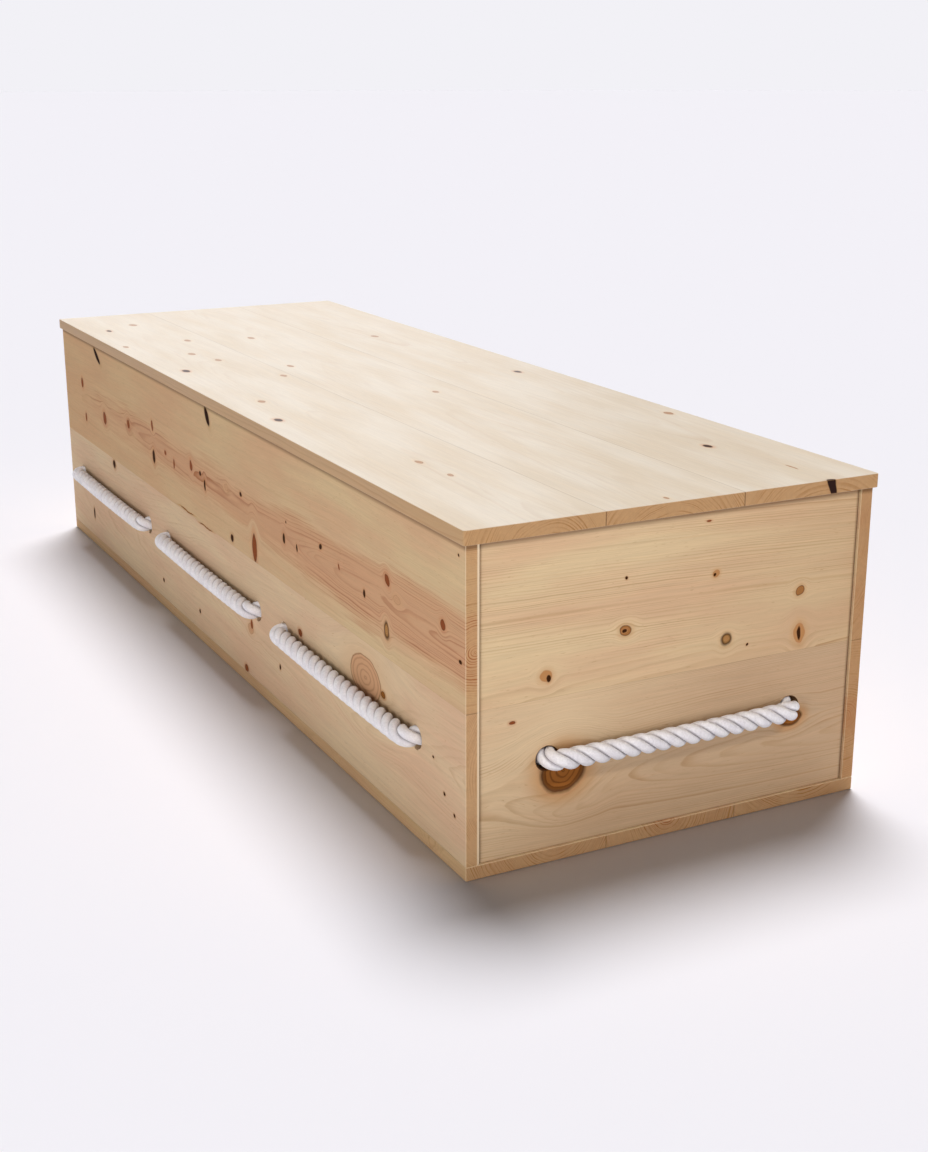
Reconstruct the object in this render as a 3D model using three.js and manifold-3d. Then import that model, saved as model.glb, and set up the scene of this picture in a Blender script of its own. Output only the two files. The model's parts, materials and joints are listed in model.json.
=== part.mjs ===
// Plain pine coffin: a box of glued-up pine boards, a loose flat lid and eight rope handles.
// Millimetres, +Z up, +X towards the foot end, origin under the middle of the bottom board.
// Left and right are as seen from the head end, so the right side is the one at -Y.
import * as THREE from 'three';
import { mergeVertices } from 'three/addons/utils/BufferGeometryUtils.js';
import Module from 'manifold-3d';

const wasm = await Module();
wasm.setup();

// The box
const boxLength = 1880;
const boxWidth = 610;
const closedHeight = 457;     // floor to the top of the lid
const boardThickness = 19;    // every board is the same stock
const endSetIn = 4;           // the end boards stand back from the end grain of the sides
const arris = 1;              // the sharp edge taken off every board

// The lid
const lidOverhang = 5;
const lidCorner = 4;
const lidCornerSteps = 3;

// The rope handles
const ropeDiameter = 28;
const ropeSides = 10;
const holeDiameter = 32;
const holeSides = 24;
const holeHeight = 143;       // centre of every hole above the floor
const sideSpan = 468;         // from hole to hole of one handle
const endSpan = 376;
const sidePitch = 585;        // from handle to handle along a side
const sideShift = -20;        // the row of three sits a little towards the head
const ropeDrawn = 1.1;        // how far a rope is drawn in and up from the middle of its hole
const standOff = 14.5;        // rope's middle from the face of the board
const bendRadius = 14.3;      // at the mouth of a hole, measured to the rope's middle
const bendSteps = 4;
const ropeSag = 2;
const knotGap = 0.3;
const knotDepth = 48;
const knotRadius = 32;
const tailLength = 20;

// What follows from them
const boardTop = closedHeight - boardThickness;
const wallHeight = boardTop - boardThickness;
const innerWidth = boxWidth - 2 * boardThickness;
const endCentre = boxLength / 2 - endSetIn - boardThickness / 2;
const endFace = boxLength / 2 - endSetIn;
const wallCentreHeight = boardThickness + wallHeight / 2;

const pine = (color, roughness) => new THREE.MeshStandardMaterial({ color, roughness, metalness: 0 });
const cotton = () => new THREE.MeshStandardMaterial({ color: '#e4e1e2', roughness: 0.95, metalness: 0 });

function toSolid(geometry) {
  const bare = geometry.index ? geometry.toNonIndexed() : geometry.clone();
  bare.deleteAttribute('normal');
  bare.deleteAttribute('uv');
  const merged = mergeVertices(bare, 1e-4);
  return new wasm.Manifold(new wasm.Mesh({
    numProp: 3,
    vertProperties: new Float32Array(merged.attributes.position.array),
    triVerts: new Uint32Array(merged.index.array),
  }));
}

function toGeometry(solid) {
  const mesh = solid.getMesh();
  const geometry = new THREE.BufferGeometry();
  geometry.setAttribute('position', new THREE.BufferAttribute(new Float32Array(mesh.vertProperties), 3));
  geometry.setIndex(new THREE.BufferAttribute(new Uint32Array(mesh.triVerts), 1));
  geometry.computeVertexNormals();
  return geometry;
}

// A board lying flat about its own middle: long way along X, wide way along Y, with eased edges.
function easedBoard(long, wide, corner, cornerSteps) {
  const outline = new THREE.Shape();
  const x = long / 2;
  const y = wide / 2;
  const quarters = [[1, 1, 0], [-1, 1, 1], [-1, -1, 2], [1, -1, 3]];
  const points = [];
  for (const [sx, sy, quarter] of quarters) {
    for (let step = 0; step <= cornerSteps; step += 1) {
      const angle = (quarter + step / cornerSteps) * Math.PI / 2;
      points.push(new THREE.Vector2(
        sx * (x - corner) + corner * Math.cos(angle),
        sy * (y - corner) + corner * Math.sin(angle),
      ));
    }
  }
  outline.setFromPoints(points);
  const geometry = new THREE.ExtrudeGeometry(outline, {
    depth: boardThickness - 2 * arris,
    bevelThickness: arris,
    bevelSize: arris,
    bevelOffset: -arris,
    bevelSegments: 1,
  });
  geometry.translate(0, 0, arris - boardThickness / 2);
  return geometry;
}

// The holes of the handles, drilled square through a board that lies flat.
function drilled(board, holes) {
  let solid = toSolid(board);
  for (const [x, y] of holes) {
    const drill = new THREE.CylinderGeometry(holeDiameter / 2, holeDiameter / 2, 2 * boardThickness, holeSides);
    drill.rotateX(Math.PI / 2);
    drill.translate(x, y, 0);
    solid = solid.subtract(toSolid(drill));
  }
  return toGeometry(solid);
}

// Stands a flat board up: its length, width and thickness go along the three given axes.
function stoodUp(geometry, along, up, through) {
  return geometry.applyMatrix4(new THREE.Matrix4().makeBasis(along, up, through));
}

const axisX = new THREE.Vector3(1, 0, 0);
const axisY = new THREE.Vector3(0, 1, 0);
const axisZ = new THREE.Vector3(0, 0, 1);

const sideHandles = [
  ['foot', sideShift + sidePitch],
  ['middle', sideShift],
  ['head', sideShift - sidePitch],
];

function place(mesh, name, x, y, z) {
  mesh.name = name;
  mesh.position.set(x, y, z);
  return mesh;
}

function bottomBoard() {
  const mesh = new THREE.Mesh(easedBoard(boxLength, boxWidth, arris, 1), pine('#c09a70', 0.62));
  return place(mesh, 'bottom_board', 0, 0, boardThickness / 2);
}

function sideBoard(name, outward) {
  const holeRow = holeHeight - wallCentreHeight;
  const holes = sideHandles.flatMap(([, centre]) => [
    [centre - sideSpan / 2, holeRow],
    [centre + sideSpan / 2, holeRow],
  ]);
  const board = drilled(easedBoard(boxLength, wallHeight, arris, 1), holes);
  const mesh = new THREE.Mesh(stoodUp(board, axisX, axisZ, axisY.clone().negate()), pine('#c6a67f', 0.6));
  return place(mesh, name, 0, outward * (boxWidth - boardThickness) / 2, wallCentreHeight);
}

function endBoard(name, outward) {
  const holeRow = holeHeight - wallCentreHeight;
  const holes = [[-endSpan / 2, holeRow], [endSpan / 2, holeRow]];
  const board = drilled(easedBoard(innerWidth, wallHeight, arris, 1), holes);
  const mesh = new THREE.Mesh(stoodUp(board, axisY, axisZ, axisX), pine('#d2b086', 0.6));
  return place(mesh, name, outward * endCentre, 0, wallCentreHeight);
}

function lid() {
  const board = easedBoard(boxLength + 2 * lidOverhang, boxWidth + 2 * lidOverhang, lidCorner, lidCornerSteps);
  const mesh = new THREE.Mesh(board, pine('#e2cba6', 0.55));
  return place(mesh, 'lid', 0, 0, boardTop + boardThickness / 2);
}

// A line whose rings fall on its own points: short steps round a bend, long ones where it runs straight.
class RopeLine extends THREE.CatmullRomCurve3 {
  getPointAt(u, target) {
    return this.getPoint(u, target);
  }

  getTangentAt(u, target) {
    return this.getTangent(u, target);
  }
}

// One handle's rope from tail to tail, in its own frame: X along the board, Y out of its face,
// Z up from the holes. Out of one hole, round its edge, along the board and back in at the other.
function ropeRoute(span) {
  const half = span / 2 - ropeDrawn;
  const inside = boardThickness + knotGap + knotDepth;
  const mouth = standOff - bendRadius;
  const halfRoute = [
    [half, -inside - tailLength],
    [half, -inside],
    [half, -boardThickness],
    [half, -5],
  ];
  for (let step = 0; step <= bendSteps; step += 1) {
    const angle = (step / bendSteps) * Math.PI / 2;
    halfRoute.push([half - bendRadius * (1 - Math.cos(angle)), mouth + bendRadius * Math.sin(angle)]);
  }
  halfRoute.push([half - 30, standOff], [half * 0.62, standOff], [half * 0.3, standOff]);
  const height = (x, out) => ropeDrawn - (out > mouth ? ropeSag * (1 - (x / half) ** 2) : 0);
  const points = halfRoute.map(([x, out]) => new THREE.Vector3(x, out, height(x, out)));
  const mirrored = points.map((p) => new THREE.Vector3(-p.x, p.y, p.z)).reverse();
  return new RopeLine([...points, new THREE.Vector3(0, standOff, ropeDrawn - ropeSag), ...mirrored]);
}

function ropeTube(span) {
  const section = new THREE.Shape();
  const corners = [];
  for (let side = 0; side < ropeSides; side += 1) {
    const angle = side * 2 * Math.PI / ropeSides;
    corners.push(new THREE.Vector2(Math.cos(angle), Math.sin(angle)).multiplyScalar(ropeDiameter / 2));
  }
  section.setFromPoints(corners);
  const route = ropeRoute(span);
  return new THREE.ExtrudeGeometry(section, { steps: route.points.length - 1, extrudePath: route });
}

// The stopper knot at one end of a rope, drawn up against the inside of the board.
function stopperKnot(x) {
  const profile = [
    [0, 0], [0.62, 0], [0.96, 0.2], [1, 0.5], [0.92, 0.8], [0.55, 1], [0, 1],
  ].map(([across, deep]) => new THREE.Vector2(across * knotRadius, deep * knotDepth));
  const knot = new THREE.LatheGeometry(profile, ropeSides);
  knot.rotateX(Math.PI);
  knot.translate(x, -boardThickness - knotGap, ropeDrawn);
  return knot;
}

function ropeHandle(name, span) {
  const solid = toSolid(ropeTube(span))
    .add(toSolid(stopperKnot(span / 2 - ropeDrawn)))
    .add(toSolid(stopperKnot(ropeDrawn - span / 2)));
  const mesh = new THREE.Mesh(toGeometry(solid), cotton());
  mesh.name = name;
  return mesh;
}

// A handle set on a board: the group stands at the board's face and turns the rope's Y outwards.
function handleOn(mesh, x, y, turn) {
  const group = new THREE.Group();
  group.position.set(x, y, holeHeight);
  group.rotation.z = turn;
  group.add(mesh);
  return group;
}

const coffin = new THREE.Group();
coffin.name = 'pine_coffin';
coffin.add(
  bottomBoard(),
  sideBoard('side_left', 1),
  sideBoard('side_right', -1),
  endBoard('end_head', -1),
  endBoard('end_foot', 1),
  lid(),
);
for (const [where, centre] of sideHandles) {
  coffin.add(handleOn(ropeHandle(`rope_left_${where}`, sideSpan), centre, boxWidth / 2, 0));
  coffin.add(handleOn(ropeHandle(`rope_right_${where}`, sideSpan), centre, -boxWidth / 2, Math.PI));
}
coffin.add(handleOn(ropeHandle('rope_foot_end', endSpan), endFace, 0, -Math.PI / 2));
coffin.add(handleOn(ropeHandle('rope_head_end', endSpan), -endFace, 0, Math.PI / 2));

export default coffin;
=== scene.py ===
# Plain pine coffin with rope handles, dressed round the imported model.
# The dictionaries hold millimetres and the meshes metres. +X runs towards the foot end,
# +Y towards the left side and +Z up, so the near corner in view is the right side's foot end.
import json
import math
import random
import bmesh
import bpy
from mathutils import Matrix, Vector

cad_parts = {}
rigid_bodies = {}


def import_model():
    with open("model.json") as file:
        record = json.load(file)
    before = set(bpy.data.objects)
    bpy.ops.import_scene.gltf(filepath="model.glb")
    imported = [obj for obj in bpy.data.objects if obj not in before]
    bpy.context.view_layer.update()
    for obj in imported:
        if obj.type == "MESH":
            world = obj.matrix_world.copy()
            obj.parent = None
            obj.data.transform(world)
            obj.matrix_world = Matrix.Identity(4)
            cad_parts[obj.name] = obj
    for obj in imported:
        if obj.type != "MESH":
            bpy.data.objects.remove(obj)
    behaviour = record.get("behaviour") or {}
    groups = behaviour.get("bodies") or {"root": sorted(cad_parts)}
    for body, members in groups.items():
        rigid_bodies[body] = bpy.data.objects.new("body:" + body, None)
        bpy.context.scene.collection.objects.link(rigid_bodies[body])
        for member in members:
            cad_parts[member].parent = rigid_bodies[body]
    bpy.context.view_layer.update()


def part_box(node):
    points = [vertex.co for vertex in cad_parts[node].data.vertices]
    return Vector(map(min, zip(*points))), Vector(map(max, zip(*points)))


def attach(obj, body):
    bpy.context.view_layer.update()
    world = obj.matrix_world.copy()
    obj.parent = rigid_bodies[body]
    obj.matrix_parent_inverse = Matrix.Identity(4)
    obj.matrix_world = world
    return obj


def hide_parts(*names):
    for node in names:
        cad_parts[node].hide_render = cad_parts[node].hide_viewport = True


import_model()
scene = bpy.context.scene
scene.view_settings.view_transform = "Standard"


def linear(hexColour):
    shares = [int(hexColour[at:at + 2], 16) / 255 for at in (1, 3, 5)]
    return tuple(s / 12.92 if s <= 0.04045 else ((s + 0.055) / 1.055) ** 2.4 for s in shares) + (1.0,)


# Adds one node. What follows the kind feeds its sockets in order, and None leaves one alone.
# A setting with a capital is a socket's name, any other one of the node's own settings.
def addNode(tree, kind, *feeds, **settings):
    node = tree.nodes.new(kind)
    for name, value in settings.items():
        if name[0].islower():
            setattr(node, name, value)
    usable = [socket for socket in node.inputs if socket.enabled]
    pairs = list(zip(usable, feeds))
    pairs += [(node.inputs[name], value) for name, value in settings.items() if name[0].isupper()]
    for socket, feed in pairs:
        if isinstance(feed, bpy.types.Node):
            feed = next(output for output in feed.outputs if output.enabled)
        if isinstance(feed, bpy.types.NodeSocket):
            tree.links.new(feed, socket)
        elif feed is not None:
            socket.default_value = feed
    return node


def newMaterial(name):
    material = bpy.data.materials.new(name)
    material.use_nodes = True
    material.node_tree.nodes.clear()
    return material, material.node_tree


# Where a camera or lamp stands that looks at the coffin from this azimuth and elevation.
def facing(azimuth, elevation, roll=0):
    turn = Matrix.Rotation(math.radians(azimuth), 4, "Z")
    tip = Matrix.Rotation(math.radians(90 - elevation), 4, "X")
    return turn @ tip @ Matrix.Rotation(math.radians(roll), 4, "Z")


# Camera, as fitted to the corners of the box in the photo
cameraView = {
    "azimuth": 62.874,
    "elevation": 17.157,
    "roll": -0.071,
    "lens": 52.03,
    "place": (2607.2, -1161.2, 978.9),
}
camera = bpy.data.objects.new("camera", bpy.data.cameras.new("camera"))
scene.collection.objects.link(camera)
camera.data.lens = cameraView["lens"]
camera.data.clip_end = 200
camera.matrix_world = Matrix.Translation(Vector(cameraView["place"]) / 1000) @ facing(
    cameraView["azimuth"], cameraView["elevation"], cameraView["roll"])
scene.camera = camera
print("camera set")


# Rope handles. The route repeats the model's: out of one hole, round its edge, along the
# board and back in at the other. X runs along the board, Y out of its face, Z up.
ropeHandle = {
    "diameter": 28,
    "boardThickness": 19,
    "holeHeight": 143,
    "holeRadius": 16,
    "drawn": 1.1,           # how far the rope is drawn in and up from the middle of its hole
    "standOff": 14.5,
    "bendRadius": 14.3,
    "bendSteps": 4,
    "sag": 2,
    "sideSpan": 468,
    "endSpan": 376,
    "sidePitch": 585,
    "sideShift": -20,
}
threeStrand = {
    "layLength": 69,        # one full turn of a strand
    "strandCentre": 7.6,    # from the rope's middle to a strand's
    "strandRadial": 6.4,    # half a strand's depth and half its width
    "strandAcross": 7.9,
    "pointsPerStrand": 14,
    "step": 2.0,
    "yarnsRound": 48,       # yarns of 1.8 mm, drawn as fine lines along the rope
}
stopperKnot = {
    "squeeze": 0.7,         # the rope's girth where the knot is drawn tight
    "step": 3.0,
    "depth": 48,
    "gap": 0.3,             # between the board's inner face and the knot
    "loopRadius": 20,
    "loopStart": 1.15,      # in half turns, from the rope's own side
    "loopTurns": 1.15,
    "loopTop": 11,          # how far short of its depth the loop starts, and how far it comes back
    "loopBack": 27,
    "loopPoints": 9,
    "tail": 20,
}


def ropeRoute(span):
    rope = ropeHandle
    half = span / 2 - rope["drawn"]
    mouth = rope["standOff"] - rope["bendRadius"]
    points = [(half, -rope["boardThickness"]), (half, -5)]
    for step in range(rope["bendSteps"] + 1):
        angle = step / rope["bendSteps"] * math.pi / 2
        x = half - rope["bendRadius"] * (1 - math.cos(angle))
        points.append((x, mouth + rope["bendRadius"] * math.sin(angle)))
    points += [(x, rope["standOff"]) for x in (half - 30, half * 0.62, half * 0.3, 0)]
    points += [(-x, out) for x, out in reversed(points[:-1])]
    drop = [rope["sag"] * (1 - (x / half) ** 2) if out > mouth else 0 for x, out in points]
    return [Vector((x, out, rope["drawn"] - z)) for (x, out), z in zip(points, drop)]


# A smooth line through the points, with a ring every step millimetres.
def smoothLine(points, step):
    ends = [2 * points[0] - points[1]] + points + [2 * points[-1] - points[-2]]
    fine = []
    between = 12
    for before, start, stop, after in zip(ends, ends[1:], ends[2:], ends[3:]):
        bend = 2 * before - 5 * start + 4 * stop - after
        turn = 3 * (start - stop) + after - before
        for t in (index / between for index in range(between)):
            fine.append(start + 0.5 * t * (stop - before + t * (bend + t * turn)))
    fine.append(points[-1])
    lengths = [0]
    for start, stop in zip(fine, fine[1:]):
        lengths.append(lengths[-1] + (stop - start).length)
    count = max(2, round(lengths[-1] / step))
    line = []
    at = 0
    for index in range(count + 1):
        wanted = lengths[-1] * index / count
        while at < len(fine) - 2 and lengths[at + 1] < wanted:
            at += 1
        share = (wanted - lengths[at]) / max(lengths[at + 1] - lengths[at], 1e-9)
        line.append(fine[at].lerp(fine[at + 1], share))
    return line, lengths[-1]


# Radius of the rope's skin at an angle from the middle of a strand.
def strandSkin(angle):
    look = threeStrand
    deep, wide = look["strandRadial"], look["strandAcross"]
    a = (math.cos(angle) / deep) ** 2 + (math.sin(angle) / wide) ** 2
    b = 2 * look["strandCentre"] * math.cos(angle) / deep ** 2
    c = (look["strandCentre"] / deep) ** 2 - 1
    return (b + math.sqrt(b * b - 4 * a * c)) / (2 * a)


# Three strands laid up along a line, as one closed skin whose rows follow the strands.
def laidRope(name, line, squeeze, place):
    look = threeStrand
    third = math.pi / 3
    section = []
    for strand in range(3):
        for index in range(look["pointsPerStrand"]):
            angle = third * math.sin(math.pi * (index / look["pointsPerStrand"] - 0.5))
            section.append((angle + 2 * third * strand, strandSkin(angle), 1 - math.cos(angle * 1.5)))
    rings = len(section)
    mesh = bpy.data.meshes.new(name)
    skin = bmesh.new()
    twist = skin.verts.layers.float.new("groove")
    yarn = skin.loops.layers.uv.new("yarn")
    normal = Vector((0, 0, 1))
    travelled = 0
    rows = []
    turns = []
    for index, point in enumerate(line):
        ahead = line[min(index + 1, len(line) - 1)] - line[max(index - 1, 0)]
        ahead.normalize()
        normal = (normal - ahead * normal.dot(ahead)).normalized()
        side = ahead.cross(normal)
        if index:
            travelled += (point - line[index - 1]).length
        turn = 2 * math.pi * travelled / look["layLength"]
        row = []
        for angle, radius, groove in section:
            out = normal * math.cos(angle + turn) + side * math.sin(angle + turn)
            vertex = skin.verts.new(place @ ((point + out * radius * squeeze) / 1000))
            vertex[twist] = groove
            row.append(vertex)
        rows.append(row)
        turns.append((turn, travelled))
    for index in range(len(rows) - 1):
        for at in range(rings):
            corners = ((index, at), (index, at + 1), (index + 1, at + 1), (index + 1, at))
            face = skin.faces.new([rows[row][column % rings] for row, column in corners])
            face.smooth = True
            for loop, (row, column) in zip(face.loops, corners):
                angle = section[column % rings][0] + (2 * math.pi if column == rings else 0)
                loop[yarn].uv = ((angle + turns[row][0]) / (2 * math.pi), turns[row][1] / 1000)
    for row, way in ((rows[0], -1), (rows[-1], 1)):
        skin.faces.new(row[::way])
    bmesh.ops.recalc_face_normals(skin, faces=skin.faces)
    skin.to_mesh(mesh)
    skin.free()
    mesh.set_sharp_from_angle(angle=math.radians(50))
    piece = bpy.data.objects.new(name, mesh)
    scene.collection.objects.link(piece)
    return piece


# An overhand knot drawn up tight against the inside of the board, with its tail.
def knotLine(x):
    knot = stopperKnot
    face = -ropeHandle["boardThickness"] - knot["gap"]
    loop = knot["loopRadius"]
    deep = knot["depth"]
    path = [(0, 0, 0), (-3, 0, 9), (-7, 0, 20), (-6, -3, 32)]
    for index in range(knot["loopPoints"] + 1):
        share = index / knot["loopPoints"]
        angle = math.pi * (knot["loopStart"] - 2 * knot["loopTurns"] * share)
        back = deep - knot["loopTop"] - knot["loopBack"] * share
        path.append((loop * math.cos(angle), loop * math.sin(angle), back))
    path += [(9, 4, 22), (8, 1, 36), (5, 0, deep + 2), (3, 0, deep + knot["tail"])]
    return [Vector((x + across, face - inward, ropeHandle["drawn"] + up)) for across, up, inward in path]


# Bleached cotton: matt and soft, with fine yarns along each strand and painted shade in the grooves between
# the strands.
bleachedCotton = {
    "clean": "#f0f0f5",
    "worn": "#e3e2ea",
    "groove": "#a6a0a8",
    "speck": 2.4,           # fuzz, drawn a little coarser than it is so that it shows
    "cloud": 14,            # slow change from clean to worn
    "yarnRelief": 0.35,
    "roughness": 0.95,
    "sheen": 0.4,
}


def cottonRope():
    material, tree = newMaterial("cotton rope, three strand laid")
    look = bleachedCotton
    where = addNode(tree, "ShaderNodeTexCoord")
    yarnPlace = addNode(tree, "ShaderNodeUVMap", uv_map="yarn")
    across = addNode(tree, "ShaderNodeSeparateXYZ", yarnPlace)
    wave = addNode(tree, "ShaderNodeMath", across, math.pi * threeStrand["yarnsRound"], operation="MULTIPLY")
    swing = addNode(tree, "ShaderNodeMath", wave, operation="SINE")
    ridge = addNode(tree, "ShaderNodeMath", swing, operation="ABSOLUTE")
    fuzz = addNode(tree, "ShaderNodeTexNoise", where.outputs["Object"], Scale=1000 / look["speck"], Detail=3)
    cloud = addNode(tree, "ShaderNodeTexNoise", where.outputs["Object"], Scale=1000 / look["cloud"], Detail=2)
    mottle = addNode(tree, "ShaderNodeMapRange", cloud.outputs["Fac"], 0.35, 0.7, 0, 1)
    body = addNode(
        tree, "ShaderNodeMix", mottle, linear(look["clean"]), linear(look["worn"]), data_type="RGBA")
    # Painted shade in the grooves between the strands
    deep = addNode(tree, "ShaderNodeAttribute", attribute_name="groove")
    grooveShade = addNode(tree, "ShaderNodeMapRange", deep.outputs["Fac"], 0.62, 1.0, 0, 0.85)
    grooveShaded = addNode(tree, "ShaderNodeMix", grooveShade, body, linear(look["groove"]), data_type="RGBA")
    speck = addNode(tree, "ShaderNodeMapRange", fuzz.outputs["Fac"], 0.3, 0.7, 0.9, 1.05)
    colour = addNode(tree, "ShaderNodeVectorMath", grooveShaded, Scale=speck, operation="SCALE")
    height = addNode(tree, "ShaderNodeMath", ridge, fuzz.outputs["Fac"], operation="ADD")
    relief = addNode(tree, "ShaderNodeBump", Height=height, Strength=0.6, Distance=look["yarnRelief"] / 1000)
    cloth = addNode(
        tree, "ShaderNodeBsdfPrincipled", colour, 0.0, look["roughness"], 1.5, None, relief,
        **{"Sheen Weight": look["sheen"], "Sheen Roughness": 0.6, "Specular IOR Level": 0.25})
    addNode(tree, "ShaderNodeOutputMaterial", cloth)
    return material


def ropeOn(node, span, place, rope):
    line, length = smoothLine(ropeRoute(span), threeStrand["step"])
    half = span / 2 - ropeHandle["drawn"]
    handle = laidRope(node.replace("rope", "handle"), line, 1.0, place)
    handle.data.materials.append(rope)
    knots = []
    for side, x in (("first", half), ("last", -half)):
        turned, _ = smoothLine(knotLine(x), stopperKnot["step"])
        knot = laidRope(node.replace("rope", "knot") + "_" + side, turned, stopperKnot["squeeze"], place)
        knot.data.materials.append(rope)
        knots.append(knot)
    for piece in [handle] + knots:
        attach(piece, "root")
        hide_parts(node)


# Turns a handle's own frame so that its Y points out of the board it hangs on.
def handlePlace(x, y, turn):
    spot = Matrix.Translation(Vector((x, y, ropeHandle["holeHeight"])) / 1000)
    return spot @ Matrix.Rotation(math.radians(turn), 4, "Z")


cotton = cottonRope()
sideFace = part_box("side_left")[1].y * 1000
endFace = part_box("end_foot")[1].x * 1000
handleCentres = {
    "foot": ropeHandle["sideShift"] + ropeHandle["sidePitch"],
    "middle": ropeHandle["sideShift"],
    "head": ropeHandle["sideShift"] - ropeHandle["sidePitch"],
}
for spot, centre in handleCentres.items():
    ropeOn("rope_left_" + spot, ropeHandle["sideSpan"], handlePlace(centre, sideFace, 0), cotton)
    ropeOn("rope_right_" + spot, ropeHandle["sideSpan"], handlePlace(centre, -sideFace, 180), cotton)
ropeOn("rope_foot_end", ropeHandle["endSpan"], handlePlace(endFace, 0, -90), cotton)
ropeOn("rope_head_end", ropeHandle["endSpan"], handlePlace(-endFace, 0, 90), cotton)
print("eight rope handles and their knots made")


# Planed pine: bare, matt and pale, with a little more gloss on the lid. Growth rings are circles
# round the heart of the tree, which runs along the plank some way behind its face, so the same
# field gives the long lines on a face, the arches where the heart comes near and the arcs on the
# end grain. Millimetres throughout.
planedPine = {
    "pale": "#e4ca9f",           # sapwood, yellower
    "warm": "#deb993",           # sapwood, pinker
    "heart": "#d09a70",          # the reddish wood near the heart
    "lateWood": "#a87643",       # the hard dark edge of each ring
    "heartLine": "#a8663f",      # the same in the heartwood
    "endGrain": "#c79b6d",
    "edge": "#d2a878",
    "edgeShare": 0.3,
    "endArrisLightAndShade": "#f2dcb6",       # arrises across the ends, sanded paler and lit as a painted highlight
    "sideArrisLightAndShade": "#ecd0a4",      # those along the board, dark as painted shade where another board meets them
    "arrisShare": 0.6,
    "innerHighlightReach": (2.5, 4),      # painted highlight on the inside of a side's end cut, as on a sunlit arris, in full and faded out
    "jointShadeTone": "#5f3f26",      # painted shade where another board meets this one
    "jointReach": 5,
    "lidShade": 4,               # how much further the painted shade reaches, as the shadow under the lid
    "ringWidth": 2.8,
    "ringStrength": 0.3,
    "heartStrength": 0.8,
    "heartBlotch": 60,           # how far slow blotches and streaks move the heartwood's edge
    "heartStreak": 26,
    "heartSoft": 9,              # and how soft it is
    "slowWander": 5,             # how far the tree wandered over its length, and over a hand's width
    "quickWander": 0.7,
    "roughness": (0.5, 0.68),
    "gloss": 0.01,
    "relief": 0.08,
    "fleck": (11, 0.7),          # resin flecks, long and wide
    "fleckShare": 0.5,
    "cutStrength": 0.7,          # how much darker the rings are on end grain
    "edgeRings": 0.5,            # and along the edges
    "glueLine": "#5e3d22",
    "glueShare": 0.5,
    "faceGlue": 0.0,             # how much of a glue line shows on the face
}
pineKnot = {
    "pushing": 150,              # a knot larger than this, in square mm, pushes the rings aside
    "unevenSize": 22,            # its outline wanders by unevenReach over this far
    "unevenReach": 7,
    "slant": 0.28,               # how far it leans, and how much it narrows, for each mm inwards
    "taper": 0.02,
    "circles": 26,               # inner circles, in radians from its middle to its rim
}
# Each kind of knot: the tones of its core, rim and halo, then how much of it the rim takes, how
# strong the halo is and how strong its inner circles are.
knotTones = {
    "red": ("#94512f", "#63331b", "#cf9065", 0.16, 0.55, 0.3),
    "dark": ("#3a2110", "#5e381f", "#c98e5e", 0.2, 0.5, 0.3),
    "ringed": ("#bd8a54", "#2c1408", "#cf9c69", 0.42, 0.4, 0.3),
    "eyed": ("#b47c48", "#623719", "#d0a06e", 0.16, 0.5, 0.5),
    "sound": ("#d6a880", "#9a6740", "#d8aa7c", 0.05, 0.3, 0.36),
    "amber": ("#c58f5c", "#c08653", "#d3a371", 0.1, 0.4, 0.3),
    "pale": ("#b48c69", "#94694a", "#d9bd98", 0.14, 0.4, 0.4),
    "black": ("#2d140d", "#22100a", "#b98253", 0.2, 0.3, 0.3),
    "brown": ("#a0642f", "#42200c", "#c98f55", 0.2, 0.7, 0.5),
}


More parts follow.
